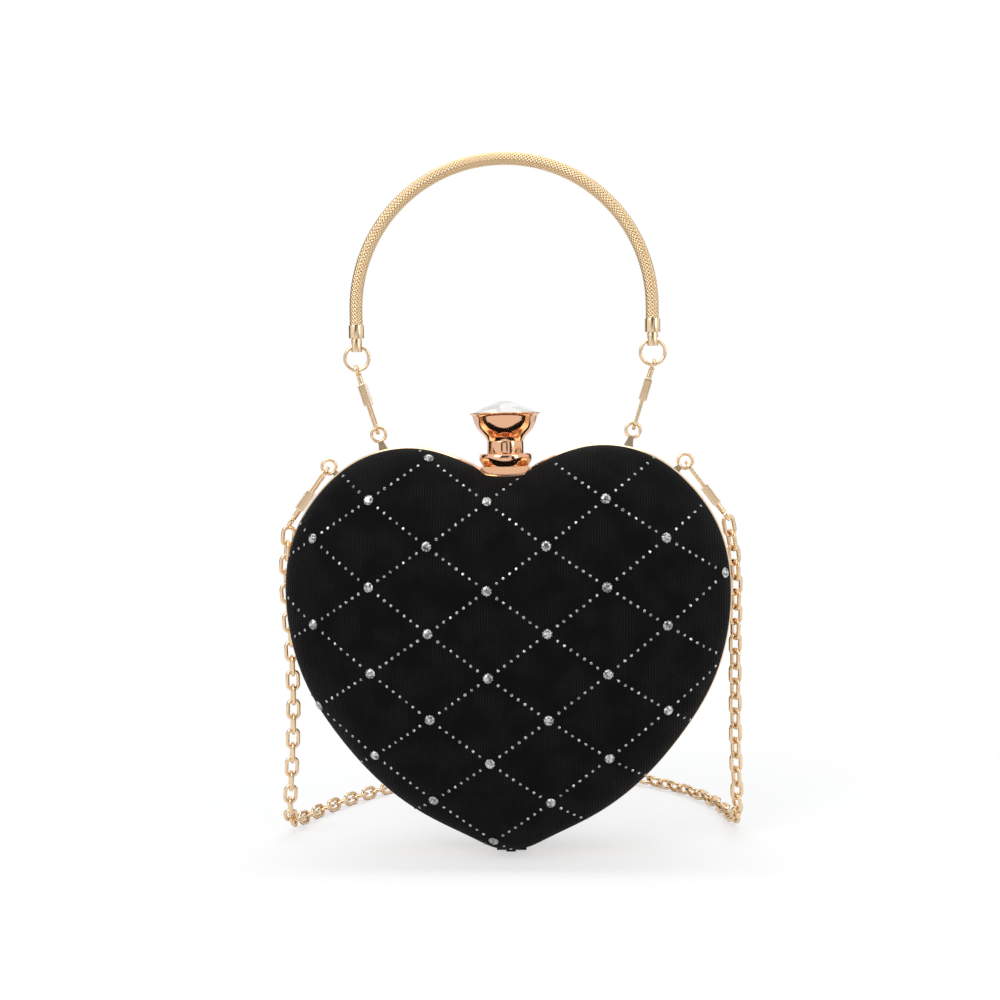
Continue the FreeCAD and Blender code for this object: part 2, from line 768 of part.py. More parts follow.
clasp("handle_clasp_left", "-" + WIRE_X, WIRE_Z, "-" + HANDLE_LEAN)
clasp("handle_clasp_right", WIRE_X, WIRE_Z, HANDLE_LEAN)
clasp("strap_clasp_left", "-" + STRAP_WIRE_X, STRAP_WIRE_Z, "-strap_hang")
clasp("strap_clasp_right", STRAP_WIRE_X, STRAP_WIRE_Z, "strap_hang")

# The handle: rings, end caps, tube and core
def handle_ring(label, x):
    """The round ring that joins an end cap to a clasp."""
    sizes = {"Radius1": "ring_radius", "Radius2": "ring_wire"}
    made = primitive(
        "Torus", label + "_made", sizes,
        dict(x=x, y=RAIL_Y, z=RING_Z, axis=Vector(1, 0, 0), angle="90"),
    )
    node(label, compound(label, made))


def end_cap(label, x):
    """A turned cap with a socket for the tube above and a cross hole for the ring below."""
    socket_radius = "handle_tube + cap_socket_gap"
    turned = revolved(label + "_turned", [
        ("0", "-cap_end_below"),
        ("cap_end_radius", "-cap_end_below"),
        ("cap_end_radius", "cap_end_above"),
        ("cap_groove_radius", "cap_end_above"),
        ("cap_groove_radius", GROOVE_TOP),
        ("cap_radius", GROOVE_TOP),
        ("cap_radius", CAP_TOP),
        (socket_radius, CAP_TOP),
        (socket_radius, SOCKET),
        ("0", SOCKET),
    ])
    hole = across(label + "_hole", "cap_hole", "4 * cap_radius")
    node(label, cut(label + "_made", turned, hole), x, RAIL_Y, HOLE_Z)


def arch():
    """The handle's centre line: a leg, a half circle and a leg."""
    radius = number("handle_radius")
    low = number(LEG_Z)
    bend = number(BEND_Z)
    y = number(RAIL_Y)
    corners = [Vector(-radius, y, low), Vector(-radius, y, bend), Vector(radius, y, bend)]
    top = Vector(0, y, bend + radius)
    return Part.Wire([
        Part.LineSegment(corners[0], corners[1]).toShape(),
        Part.Arc(corners[1], top, corners[2]).toShape(),
        Part.LineSegment(corners[2], Vector(radius, y, low)).toShape(),
    ])


def along_arch(name, path, radius):
    """A round rod swept along the handle's centre line."""
    circle = doc.addObject("Part::Circle", name + "_circle")
    circle.setExpression("Radius", bound(radius))
    start = path.Shape.OrderedVertexes[0].Point
    circle.Placement.Base = start
    sweep = doc.addObject("Part::Sweep", name)
    sweep.Sections = [circle]
    sweep.Spine = (path, ["Edge1", "Edge2", "Edge3"])
    sweep.Solid = True
    return sweep


for side_name, side_x in (("left", "-handle_radius"), ("right", "handle_radius")):
    handle_ring("handle_ring_" + side_name, side_x)
    end_cap("handle_cap_" + side_name, side_x)
arch_path = computed("handle_path", arch())
rod = along_arch("handle_rod", arch_path, "handle_tube")
bore = along_arch("handle_bore", arch_path, "core_radius + core_gap")
node("handle_tube", cut("handle_tube_made", rod, bore))
node("handle_core", compound("handle_core", along_arch("core_rod", arch_path, "core_radius")))

# The push clasp in the cleft, its heights measured from the underside of its base
NECK_BOTTOM = "base_height - neck_sunk"
RECESS_TOP = NECK_BOTTOM + " + recess_depth"
STEM_HOLE = "stem_radius + stem_play"
SEAT_Z = "cup_top - cup_seat_depth"
SEAT_RADIUS = "cup_radius - cup_lip"

saddle_block = box(
    "saddle_block", ("-saddle_half_width", "saddle_half_width"),
    ("parting_gap / 2", "frame_depth"), (BASE_Z + " - 2 * base_height", BASE_Z),
)
node("clasp_saddle", cut("clasp_saddle", saddle_block, body_block, stem_way))

base = revolved("clasp_base", [
    (STEM_HOLE, "0"),
    ("base_foot_radius", "0"),
    ("base_radius", "base_waist"),
    ("base_radius", "base_height - base_edge"),
    ("base_radius - base_edge", "base_height"),
    ("neck_radius + neck_gap", "base_height"),
    ("neck_radius + neck_gap", "base_floor"),
    (STEM_HOLE, "base_floor"),
])
node("clasp_base", base, "0", RAIL_Y, BASE_Z)

flare = [
    (
        "neck_radius + %g * (cup_radius - neck_radius)" % outward,
        "neck_top + %g * (cup_top - neck_top)" % upward,
    )
    for outward, upward in CUP_SHARES
]
cup = revolved("knob_cup", [
    ("stem_radius + seat_gap", NECK_BOTTOM),
    ("recess_inner", NECK_BOTTOM),
    ("recess_inner", RECESS_TOP),
    ("recess_outer", RECESS_TOP),
    ("recess_outer", NECK_BOTTOM),
    ("neck_radius", NECK_BOTTOM),
    ("neck_radius", "neck_top"),
    *flare,
    ("cup_radius", "cup_top"),
    (SEAT_RADIUS, "cup_top"),
    (SEAT_RADIUS, SEAT_Z),
    ("0", SEAT_Z),
    ("0", "stem_hole_top"),
    ("stem_radius + seat_gap", "stem_hole_top"),
])
node("knob_cup", cup, "0", RAIL_Y, BASE_Z)


def gem():
    """The faceted stone: a girdle in the cup, a shoulder and a flat table."""
    rings = []
    girdle = SEAT_RADIUS + " - gem_gap"
    levels = [
        (girdle, "seat_gap"),
        (girdle, "gem_girdle"),
        ("gem_shoulder_radius", "gem_girdle + gem_shoulder_rise"),
        ("gem_table_radius", "cup_seat_depth + gem_height"),
    ]
    for step, (radius, up) in enumerate(levels):
        ring = doc.addObject("Part::RegularPolygon", "gem_ring_%d" % step)
        ring.Polygon = GEM_SIDES
        ring.setExpression("Circumradius", bound(radius))
        rings.append(place(ring, z=up))
    loft = doc.addObject("Part::Loft", "knob_gem")
    loft.Sections = rings
    loft.Solid = True
    loft.Ruled = True
    return loft


node("knob_gem", gem(), "0", RAIL_Y, BASE_Z + " + " + SEAT_Z)

shank = upright(
    "stem_shank", "stem_radius", STEM_LOW + " + stem_tip_length",
    BASE_Z + " + stem_hole_top - seat_gap", y=RAIL_Y,
)
tip = upright(
    "stem_tip", "stem_tip_radius", STEM_LOW, STEM_LOW + " + stem_tip_length", y=RAIL_Y
)
node("knob_stem", fuse("knob_stem", shank, tip))


def knob_spring():
    """The coil spring between the base's floor and the recess in the neck."""
    radius = number("(recess_inner + recess_outer) / 2")
    low = number(BASE_Z + " + base_floor + spring_wire + spring_end_gap")
    high = number(BASE_Z + " + " + RECESS_TOP + " - spring_wire - spring_end_gap")
    centre = Vector(0, number(RAIL_Y), low)
    points = []
    directions = []
    steps = SPRING_TURNS * COIL_SIDES
    rise = (high - low) / (2 * math.pi * SPRING_TURNS)
    for step in range(steps + 1):
        angle = 2 * math.pi * step / COIL_SIDES
        out = Vector(math.cos(angle), math.sin(angle), 0)
        points.append(centre + out * radius + Vector(0, 0, rise * angle))
        directions.append(Vector(-out.y * radius, out.x * radius, rise).normalize())
    print("knob spring gap %.2f" % ((high - low) / SPRING_TURNS - 2 * number("spring_wire")))
    return tube(biarcs(points, directions), number("spring_wire"), directions[0])


node("knob_spring", computed("knob_spring", knob_spring()))

# The latch: a keeper on the front frame, and a leaf in the back half with a bead in its window
keeper_side = ("-keeper_half_width", "keeper_half_width")
tongue = box(
    "keeper_tongue", keeper_side, ("-keeper_plate_start", "keeper_tip"),
    (KEEPER_TOP + " - keeper_thickness", KEEPER_TOP),
)
plate = box(
    "keeper_plate", keeper_side, ("-keeper_plate_start", "-keeper_plate_start + keeper_thickness"),
    (KEEPER_TOP + " - keeper_thickness", BASE_Z),
)
inside_frame = prism(
    "inside_frame", "frame_wall + seat_gap", "-2 * frame_depth", "2 * frame_depth"
)
window = box(
    "keeper_window", ("-window_half_width", "window_half_width"), ("window_start", "window_end"),
    (KEEPER_TOP + " - keeper_thickness - overrun", KEEPER_TOP + " + overrun"),
)
keeper = common("keeper_seated", fuse("keeper_whole", tongue, plate), inside_frame)
node("latch_keeper", cut("latch_keeper", keeper, window))

LEAF_TOP = KEEPER_TOP + " - keeper_thickness - latch_drop"
latch_side = ("-latch_half_width", "latch_half_width")
strip = box(
    "latch_strip", latch_side, ("latch_start", "latch_end"),
    (LEAF_TOP + " - latch_thickness", LEAF_TOP),
)
post = box(
    "latch_post", latch_side, ("latch_end - latch_thickness", "latch_end"), (LEAF_TOP, BASE_Z)
)
bead = box(
    "latch_bead", ("-bead_half_width", "bead_half_width"), ("bead_start", "bead_end"),
    (LEAF_TOP, KEEPER_TOP + " - bead_sunk"),
)
inside_spigot = prism(
    "inside_spigot", SHELL_END + " + seat_gap", "-2 * frame_depth", "2 * frame_depth"
)
latch = common("latch_spring", fuse("latch_whole", strip, post, bead), inside_spigot)
node("latch_spring", latch)


# The chain strap: two free stretches and the coil of what is left, as plain tubes
def strap_stretch(label, route):
    """A tube along one free stretch of the strap."""
    points = [Vector(*point) for point in route]
    path, radii = rounded(points)
    print(label, "radii", ", ".join("%.0f" % radius for radius in radii))
    solid = tube(path, number("chain_radius"), points[1] - points[0])
    node(label, computed(label, solid))


def strap_coil():
    """Loops that spiral in on the ground, climb and spiral out on top of themselves."""
    turn = 2 * math.pi
    inward = COIL_TURNS_IN * turn
    total = 2 * inward
    step = number("coil_step")
    outer = number("coil_outer")
    ground = STRAP_LEFT[-1][2]
    climb_start = inward - math.pi / 2

    def spot(angle):
        depth = min(angle, total - angle) / turn
        radius = outer - step * depth
        share = min(max((angle - climb_start) / math.pi, 0), 1)
        lift = number("coil_layer") * share * share * (3 - 2 * share)
        bearing = math.pi / 2 - angle
        return Vector(
            radius * math.cos(bearing),
            number("coil_y") + radius * math.sin(bearing),
            ground + lift,
        )

    steps = 4 * COIL_TURNS_IN * COIL_SIDES
    nudge = turn / COIL_SAMPLES
    angles = [total * count / steps for count in range(steps + 1)]
    points = [spot(angle) for angle in angles]
    directions = [
        (spot(min(angle + nudge, total)) - spot(max(angle - nudge, 0))).normalize()
        for angle in angles
    ]
    path = biarcs(points, directions)
    samples = path.discretize(Number=COIL_SAMPLES)
    apart = COIL_SAMPLES // (4 * COIL_TURNS_IN)
    least = min(
        (one - other).Length
        for index, one in enumerate(samples)
        for other in samples[index + apart:]
    )
    print("strap coil least gap %.2f" % (least - 2 * number("chain_radius")))
    return tube(path, number("chain_radius"), directions[0])


strap_stretch("strap_chain_left", STRAP_LEFT)
strap_stretch("strap_chain_right", STRAP_RIGHT)
node("strap_coil", computed("strap_coil", strap_coil()))

# Check everything before anything is written
doc.recompute()
for thing in doc.Objects:
    bad = [state for state in thing.State if state in ("Invalid", "Error")]
    if bad:
        raise RuntimeError("%s is %s" % (thing.Label, bad))
for thing in nodes:
    shape = thing.Shape
    if shape.isNull() or not shape.isValid() or not shape.Solids:
        raise RuntimeError("%s has no sound solid" % thing.Label)
os.makedirs("parts", exist_ok=True)
for thing in nodes:
    thing.Shape.exportStep("parts/%s.step" % thing.Label)
print(len(nodes), "pieces written")
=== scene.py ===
"""The looks of the heart shaped purse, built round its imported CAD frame. Metres."""
import json
import math
import random

import bpy
from mathutils import Matrix, Vector
from mathutils.bvhtree import BVHTree


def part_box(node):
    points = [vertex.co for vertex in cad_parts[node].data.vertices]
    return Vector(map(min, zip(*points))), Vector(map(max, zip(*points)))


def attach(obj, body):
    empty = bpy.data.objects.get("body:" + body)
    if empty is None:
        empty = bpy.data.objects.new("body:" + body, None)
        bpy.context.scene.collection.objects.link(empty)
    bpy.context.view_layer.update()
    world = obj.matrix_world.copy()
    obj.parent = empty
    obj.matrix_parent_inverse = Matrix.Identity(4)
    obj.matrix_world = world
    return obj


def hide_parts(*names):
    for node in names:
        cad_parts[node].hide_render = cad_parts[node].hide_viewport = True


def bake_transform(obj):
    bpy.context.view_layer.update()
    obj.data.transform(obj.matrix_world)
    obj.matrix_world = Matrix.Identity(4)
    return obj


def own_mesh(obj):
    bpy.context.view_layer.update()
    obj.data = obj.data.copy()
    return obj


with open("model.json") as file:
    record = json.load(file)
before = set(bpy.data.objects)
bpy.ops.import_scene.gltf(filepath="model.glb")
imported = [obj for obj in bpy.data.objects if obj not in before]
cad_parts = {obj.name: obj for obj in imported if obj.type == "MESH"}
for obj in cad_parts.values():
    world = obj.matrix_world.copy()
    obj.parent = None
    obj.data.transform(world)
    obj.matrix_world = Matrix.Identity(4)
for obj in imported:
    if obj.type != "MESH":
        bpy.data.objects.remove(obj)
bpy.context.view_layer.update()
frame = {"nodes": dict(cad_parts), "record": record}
MM = 0.001
NODES = frame["nodes"]
SIDES = ("left", "right")

# The origin of the case's own frame lies a little above the middle of the hinge's pin
HINGE_DROP = 0.3 * MM
hinge_low, hinge_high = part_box("hinge_pin")
CASE = (hinge_low + hinge_high) / 2 + Vector((0, 0, HINGE_DROP))


def lerp(low, high, share):
    """The value at a share of the way from low to high."""
    return low + (high - low) * share


# Materials
METAL_GRAIN = 900.0
GLOSS_SHARES = (0.6, 1.4)
SCALE_HEIGHT = "scale_height"
# How low a scale's height must be to take the painted shade of the grooves
GROOVE_SHADE_REACH = (0.0, 0.4)
WAVE_SCALE = math.pi / 10
RIB_PITCH = 1.0 * MM
CLOTH_DARK = (0.0030, 0.0027, 0.0028)
# The lightest colour of the ribs is painted sheen
CLOTH_PAINTED_SHEEN = (0.0105, 0.0097, 0.0092)
WEAVE_SCALE = 2600.0
SHEEN_STREAK_SCALE = 90.0
SHEEN_STREAK_REACH = (0.35, 0.7)
MOTTLE_SCALE = 350.0
CLOUD_SCALE = 160.0
CLOUD_ROUGHNESS = (0.02, 0.09)
NONE_TO_ALL = (0.0, 1.0)


def material(name, color, roughness, metallic=0.0):
    """A plain principled material, its shader node and its tree."""
    made = bpy.data.materials.new(name)
    made.use_nodes = True
    shader = made.node_tree.nodes["Principled BSDF"]
    shader.inputs["Base Color"].default_value = (*color, 1)
    shader.inputs["Roughness"].default_value = roughness
    shader.inputs["Metallic"].default_value = metallic
    made.diffuse_color = (*color, 1)
    return made, shader, made.node_tree


def add(tree, kind, links=(), **values):
    """A node with its properties and inputs set; links are (input, socket) pairs."""
    made = tree.nodes.new(kind)
    for key, value in values.items():
        if key in made.inputs:
            made.inputs[key].default_value = value
        else:
            setattr(made, key, value)
    for key, socket in links:
        tree.links.new(socket, made.inputs[key])
    return made


def own_place(tree):
    """The shaded point in the piece's own coordinates."""
    return add(tree, "ShaderNodeTexCoord").outputs["Object"]


def noise(tree, scale, detail):
    """An uneven share over the piece."""
    made = add(tree, "ShaderNodeTexNoise", [("Vector", own_place(tree))], Scale=scale, Detail=detail)
    return made.outputs["Fac"]


def cells(tree, size):
    """An uneven share for each cell of a given size."""
    made = add(tree, "ShaderNodeTexVoronoi", [("Vector", own_place(tree))], Scale=1 / size)
    return add(tree, "ShaderNodeSeparateColor", [("Color", made.outputs["Color"])]).outputs["Red"]


def waves(tree, direction, pitch, **values):
    """Even bands across a direction, as a share."""
    made = add(
        tree, "ShaderNodeTexWave", [("Vector", own_place(tree))], bands_direction=direction,
        Scale=WAVE_SCALE / pitch, **values,
    )
    return made.outputs["Fac"]


def joined(tree, operation, first, second):
    """Two values joined by an operation."""
    return add(tree, "ShaderNodeMath", [(0, first), (1, second)], operation=operation).outputs[0]


def ramp(tree, socket, reach, result):
    """A smooth step from the first result to the second as the socket's value goes over its reach."""
    made = add(
        tree, "ShaderNodeMapRange", [("Value", socket)], interpolation_type="SMOOTHSTEP", clamp=True,
    )
    made.inputs["From Min"].default_value, made.inputs["From Max"].default_value = reach
    made.inputs["To Min"].default_value, made.inputs["To Max"].default_value = result
    return made.outputs["Result"]


def emboss(tree, height, strength, distance):
    """Bump the surface of a material by a height."""
    bump = add(tree, "ShaderNodeBump", [("Height", height)], Strength=strength, Distance=distance)
    tree.links.new(bump.outputs["Normal"], tree.nodes["Principled BSDF"].inputs["Normal"])


def shade(made, share, dark, light):
    """Colour a material from dark to light by a share."""
    tree = made.node_tree
    mix = add(tree, "ShaderNodeMix", [("Factor", share)], data_type="RGBA")
    first, second = [socket for socket in mix.inputs if socket.type == "RGBA"]
    first.default_value = (*dark, 1)
    second.default_value = (*light, 1)
    result = next(socket for socket in mix.outputs if socket.type == "RGBA")
    tree.links.new(result, tree.nodes["Principled BSDF"].inputs["Base Color"])


def metal(name, color, roughness):
    """Plated metal whose gloss varies a little over the surface."""
    made, shader, tree = material(name, color, roughness, metallic=1.0)
    gloss = add(tree, "ShaderNodeMapRange", [("Value", noise(tree, METAL_GRAIN, detail=3.0))])
    gloss.inputs["To Min"].default_value = roughness * GLOSS_SHARES[0]
    gloss.inputs["To Max"].default_value = roughness * GLOSS_SHARES[1]
    tree.links.new(gloss.outputs["Result"], shader.inputs["Roughness"])
    return made


def speckled(name, dark, light, size):
    """Silvery glitter: cells of uneven brightness."""
    made, _, tree = material(name, light, roughness=0.3, metallic=1.0)
    shade(made, cells(tree, size), dark, light)
    return made


def scaled(name, dark, light):
    """Plated scales, with painted shade that darkens the grooves between them."""
    made = metal(name, light, roughness=0.24)
    height = add(made.node_tree, "ShaderNodeAttribute", attribute_name=SCALE_HEIGHT).outputs["Fac"]
    shade(made, ramp(made.node_tree, height, GROOVE_SHADE_REACH, NONE_TO_ALL), dark, light)
    return made


def woven(name, color, pitch):
    """Plain cloth: a fine weave of two sets of threads."""
    made, shader, tree = material(name, color, roughness=0.85)
    shader.inputs["Specular IOR Level"].default_value = 0.15
    upright = waves(tree, "X", pitch, Distortion=0.6)
    level = waves(tree, "Z", pitch, Distortion=0.6)
    emboss(tree, joined(tree, "ADD", upright, level), strength=0.6, distance=0.2 * MM)
    return made


def board():
    """Moulded board with a slight mottle."""
    made, _, tree = material("shell_board", (0.02, 0.019, 0.02), roughness=0.8)
    emboss(tree, noise(tree, MOTTLE_SCALE, detail=4.0), strength=0.4, distance=0.2 * MM)
    return made


def fabric():
    """Black ribbed cloth with a slight sheen, and a painted sheen on its ribs that comes and goes in
    uneven streaks.
    """
    made, shader, tree = material("black_fabric", CLOTH_DARK, roughness=0.75)
    shader.inputs["Specular IOR Level"].default_value = 0.06
    shader.inputs["Sheen Weight"].default_value = 0.02
    shader.inputs["Sheen Roughness"].default_value = 0.4
    ribs = waves(tree, "X", RIB_PITCH, **{"Distortion": 1.2, "Detail": 1.0, "Detail Scale": 3.0})
    weave = noise(tree, WEAVE_SCALE, detail=2.0)
    mix = add(tree, "ShaderNodeMix", [("A", ribs), ("B", weave)], data_type="FLOAT", Factor=0.35)
    emboss(tree, mix.outputs["Result"], strength=0.9, distance=0.3 * MM)
    # Painted sheen: the ribs are coloured lighter in uneven streaks
    uneven = ramp(tree, noise(tree, SHEEN_STREAK_SCALE, detail=3.0), SHEEN_STREAK_REACH, NONE_TO_ALL)
    shade(made, joined(tree, "MULTIPLY", ribs, uneven), CLOTH_DARK, CLOTH_PAINTED_SHEEN)
    return made


def crystal(name, dark, light, size):
    """Clear faceted stone over a pale foil."""
    made, shader, tree = material(name, light, roughness=0.05, metallic=0.6)
    cloud = ramp(tree, noise(tree, CLOUD_SCALE, detail=2.0), NONE_TO_ALL, CLOUD_ROUGHNESS)
    tree.links.new(cloud, shader.inputs["Roughness"])
    shade(made, cells(tree, size), dark, light)
    return made


GOLD = metal("gold_metal", (0.84, 0.63, 0.41), roughness=0.2)
ROSE = metal("rose_gold", (0.80, 0.46, 0.28), roughness=0.1)
# The scales' dark colour is painted shade for the grooves between them
SCALES = scaled("handle_scales", (0.22, 0.13, 0.06), (0.83, 0.61, 0.37))
STEEL = metal("spring_steel", (0.55, 0.55, 0.56), roughness=0.3)
CLOTH = fabric()
BLACKENED = metal("black_metal", (0.012, 0.011, 0.012), roughness=0.35)
LINING = woven("lining_fabric", (0.02, 0.018, 0.02), pitch=0.6 * MM)
BOARD = board()
GLITTER = speckled("stones", (0.08, 0.08, 0.08), (0.70, 0.70, 0.69), size=0.7 * MM)
DOTS = speckled("dots", (0.20, 0.20, 0.21), (0.56, 0.57, 0.58), size=0.9 * MM)
CRYSTAL = crystal("gem", (0.64, 0.65, 0.62), (0.90, 0.90, 0.86), size=4.5 * MM)
PAINT = {
    "gold_metal": GOLD, "rose_gold": ROSE, "handle_scales": SCALES, "chain": GOLD,
    "black_fabric": CLOTH, "lining_fabric": LINING, "shell_board": BOARD,
    "stones": GLITTER, "gem": CRYSTAL, "spring_steel": STEEL, "black_metal": BLACKENED,
}
for subpart in frame["record"]["subparts"]:
    paints = NODES[subpart["node"]].data.materials
    paints.clear()
    paints.append(PAINT[subpart["material_slot"]])


# Building blocks
def piece(name, verts, faces, paint, body, smooth=True):
    """A mesh that rides on a body."""
    mesh = bpy.data.meshes.new(name)
    mesh.from_pydata([tuple(v) for v in verts], [], faces)
    mesh.validate()
    mesh.materials.append(paint)
    mesh.polygons.foreach_set("use_smooth", [smooth] * len(mesh.polygons))
    made = bpy.data.objects.new(name, mesh)
    bpy.context.scene.collection.objects.link(made)
    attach(made, body)
    return made


def rings(verts, faces, loops, closed=False, capped=True):
    """Skin a list of equal rings of points, each closed on itself."""
    first = len(verts)
    count = len(loops[0])
    for loop in loops:
        verts.extend(loop)
    pairs = len(loops) if closed else len(loops) - 1
    for level in range(pairs):
        low = first + level * count
        high = first + (level + 1) % len(loops) * count
        for side in range(count):
            after = (side + 1) % count
            faces.append((low + side, low + after, high + after, high + side))
    if capped and not closed:
        faces.append(tuple(first + side for side in reversed(range(count))))
        last = first + (len(loops) - 1) * count
        faces.append(tuple(last + side for side in range(count)))


def frames_along(points):
    """At each point of a line: its place, its direction and a side vector that doesn't twist."""
    found = []
    side = None
    for index, point in enumerate(points):
        before = points[max(index - 1, 0)]
        after = points[min(index + 1, len(points) - 1)]
        along = (after - before).normalized()
        if side is None:
            side = along.orthogonal()
        side = (side - along * side.dot(along)).normalized()
        found.append((point, along, side))
    return found


# The chain strap: its route stays near the CAD's, in the case's frame and millimetres
STRAP_LEFT = [
    (-83.8, 3.1, 122.1), (-86.8, 6.6, 107), (-85.8, 11.0, 80), (-85.6, 12.5, 52),
    (-87.0, 13.0, 29), (-89.0, 16, 12), (-90.5, 24, 2.6), (-88.0, 38, 0.55),
    (-81, 56, 0.55), (-69, 77, 0.55), (-52, 98, 0.55), (-34, 114, 0.55), (-15.5, 121.3, 0.55),
    (-0.1, 121, 0.55),
]
STRAP_RIGHT = [
    (83.8, 3.1, 122.1), (86.9, 5.6, 107), (86.4, 9.5, 80), (86.2, 10.5, 53),
    (86.3, 11.5, 30), (87.2, 15.5, 12), (87.4, 27, 2.8), (86.8, 43, 0.55),
    (83.5, 61, 0.55), (75.5, 79, 0.55), (62.5, 94.5, 0.55), (46.5, 107, 1.5), (30, 117, 4.2),
    (14.5, 121.4, 6.3), (0.1, 121, 6.65),
]
COIL_Y = 88.0
COIL_OUTER = 33.0
COIL_STEP = 6.2
COIL_LAYER = 6.1
COIL_TURNS_IN = 2
COIL_POINTS = 24
LINK_LENGTH = 8.9 * MM
LINK_WIDTH = 5.8 * MM
LINK_WIRE = 1.55 * MM
LINK_PITCH = 5.8 * MM
LINK_TURN = math.radians(24)
LINK_STEPS = 20
LINK_SIDES = 8


def coil():
    """The coil's points: in on the ground, up and out on top of itself."""
    total = 4 * math.pi * COIL_TURNS_IN
    climb_start = total / 2 - math.pi / 2
    count = 2 * COIL_TURNS_IN * COIL_POINTS
    found = []
    for step in range(1, count):
        angle = total * step / count
        radius = COIL_OUTER - COIL_STEP * min(angle, total - angle) / (2 * math.pi)
        share = min(max((angle - climb_start) / math.pi, 0), 1)
        lift = COIL_LAYER * share * share * (3 - 2 * share)
        bearing = math.pi / 2 - angle
        found.append((
            radius * math.cos(bearing), COIL_Y + radius * math.sin(bearing), STRAP_LEFT[-1][2] + lift,
        ))
    return found


def smooth_line(points):
    """Points read from a spline that follows the given control points."""
    curve = bpy.data.curves.new("route", "CURVE")
    curve.dimensions = "3D"
    spline = curve.splines.new("NURBS")
    spline.points.add(len(points) - 1)
    for spot, point in zip(spline.points, points):
        spot.co = (*point, 1)
    spline.order_u = 3
    spline.use_endpoint_u = True
    spline.resolution_u = 8
    holder = bpy.data.objects.new("route", curve)
    bpy.context.scene.collection.objects.link(holder)
    bpy.context.view_layer.update()
    mesh = bpy.data.meshes.new_from_object(holder)
    found = [v.co.copy() for v in mesh.vertices]
    bpy.data.objects.remove(holder)
    bpy.data.curves.remove(curve)
    bpy.data.meshes.remove(mesh)
    return found


def evenly(points, pitch):
    """Points along a line at an even pitch, and the line's length."""
    found = []
    travelled = 0.0
    wanted = pitch / 2
    for start, end in zip(points, points[1:]):
        run = (end - start).length
        while wanted <= travelled + run:
            found.append(start.lerp(end, (wanted - travelled) / run))
            wanted += pitch
        travelled += run
    return found, travelled


def link(verts, faces, place, along, side):
    """One oval link of round wire."""
    across = along.cross(side)
    bend = (LINK_WIDTH - LINK_WIRE) / 2
    straight = (LINK_LENGTH - LINK_WIDTH) / 2
    loops = []
    for step in range(LINK_STEPS):
        angle = 2 * math.pi * (step + 0.5) / LINK_STEPS
        end = math.copysign(straight, math.cos(angle))
        middle = place + along * (end + bend * math.cos(angle)) + side * (bend * math.sin(angle))
        out = along * math.cos(angle) + side * math.sin(angle)
        ring = []
        for turn in range(LINK_SIDES):
            around = 2 * math.pi * turn / LINK_SIDES
            ring.append(middle + (out * math.cos(around) + across * math.sin(around)) * (LINK_WIRE / 2))
        loops.append(ring)
    rings(verts, faces, loops, closed=True)


def strap():
    """The chain from the left clasp down, round its coil on the ground and up to the right clasp."""
    route = STRAP_LEFT + coil() + STRAP_RIGHT[::-1]
    line = smooth_line([CASE + Vector(point) * MM for point in route])
    spots, length = evenly(line, LINK_PITCH)
    verts = []
    faces = []
    for index, (place, along, side) in enumerate(frames_along(spots)):
        turn = LINK_TURN + (math.pi / 2 if index % 2 else 0)
        link(verts, faces, place, along, Matrix.Rotation(turn, 3, along) @ side)
    made = piece("strap_links", verts, faces, GOLD, "bag_back")
    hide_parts("strap_chain_left", "strap_coil", "strap_chain_right")
    print("strap length %.3f m, %d links" % (length, len(spots)))


# The handle: a tube of fine scales
HANDLE_RADIUS = 56.1 * MM
SCALE_PITCH = 1.45 * MM
SCALE_DEPTH = 0.32 * MM
SCALE_ROWS = 12
RINGS_PER_SCALE = 6
TUBE_SIDES = 84


def handle():
    """The arched tube, its scales in rows that lean one way and the other."""
    low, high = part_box("handle_tube")
    radius = high.z
    leg = -HANDLE_RADIUS - low.z
    length = math.pi * HANDLE_RADIUS + 2 * leg
    count = int(length / SCALE_PITCH * RINGS_PER_SCALE)
    loops = []
    heights = []
    for step in range(count + 1):
        run = length * step / count
        if run < leg:
            middle = Vector((-HANDLE_RADIUS, 0, low.z + run))
            out = Vector((-1, 0, 0))
        elif run > length - leg:
            middle = Vector((HANDLE_RADIUS, 0, low.z + length - run))
            out = Vector((1, 0, 0))
        else:
            angle = math.pi - (run - leg) / HANDLE_RADIUS
            out = Vector((math.cos(angle), 0, math.sin(angle)))
            middle = Vector((0, 0, -HANDLE_RADIUS)) + out * HANDLE_RADIUS
        ring = []
        for side in range(TUBE_SIDES):
            around = 2 * math.pi * side / TUBE_SIDES
            lean = SCALE_ROWS / 2 * around
            along = math.pi * run / SCALE_PITCH
            scale = abs(math.sin(along + lean) * math.sin(along - lean))
            heights.append(scale)
            size = radius - SCALE_DEPTH * (1 - scale)
            ring.append(middle + (out * math.cos(around) + Vector((0, 1, 0)) * math.sin(around)) * size)
        loops.append(ring)
    verts = []
    faces = []
    rings(verts, faces, loops)
    made = piece("handle_scales", verts, faces, SCALES, "handle")
    # Each point's scale height, which the material turns into painted shade in the grooves
    made.data.attributes.new(SCALE_HEIGHT, "FLOAT", "POINT").data.foreach_set("value", heights)
    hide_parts("handle_tube")


# The knob: a tulip shaped cup and its stone, turned about the stem
CUP_SIDES = 64
CUP_STEPS = 4
CUP_OUTLINE = [
    (6.3, 0.0), (6.95, 0.25), (6.95, 4.6), (6.9, 5.3), (7.6, 6.7), (8.9, 8.05), (10.45, 9.85),
    (11.5, 11.9), (12.1, 13.8), (12.5, 14.9), (13.2, 15.4), (13.35, 15.65), (13.2, 15.9), (12.6, 15.9),
    (12.3, 15.75),
]
CUP_SEAT = (12.2, 14.2)
GEM_SIDES = 12
GEM_LEVELS = [(12.08, 0.0, 0.0), (12.08, 1.8, 0.0), (8.2, 3.75, 0.5), (1.8, 6.15, 0.0)]


